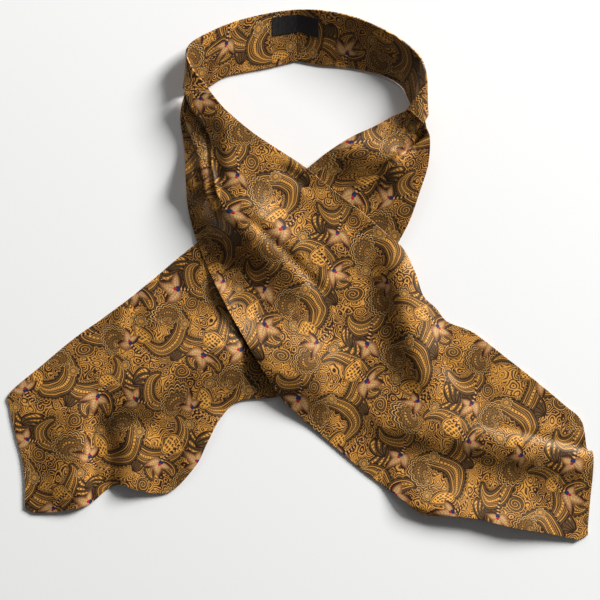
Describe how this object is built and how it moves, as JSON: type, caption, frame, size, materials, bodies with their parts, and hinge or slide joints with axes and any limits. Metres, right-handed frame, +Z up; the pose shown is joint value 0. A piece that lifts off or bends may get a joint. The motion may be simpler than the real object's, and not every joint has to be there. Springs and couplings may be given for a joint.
{
  "type": "silk cravat, laid out flat",
  "caption": "Pleated day cravat in gold and brown paisley silk, laid flat with its blades crossed and its neckband open.",
  "frame": {"origin": "middle of the bounding box, on the surface that the cravat lies on", "axes": "+Z up off that surface, +Y towards the back of the neck, +X towards the end of the blade that lies on top"},
  "size_m": [0.5014, 0.4538, 0.0274],
  "materials": {
    "printed_silk": "printed silk with a soft satin sheen: gold, olive brown and dark brown paisley",
    "label_satin": "bare near-black woven satin"
  },
  "bodies": {
    "root": {"neckband_left": "printed_silk", "neckband_right": "printed_silk", "over_blade": "printed_silk", "under_blade": "printed_silk", "label": "label_satin"}
  },
  "joints": []
}
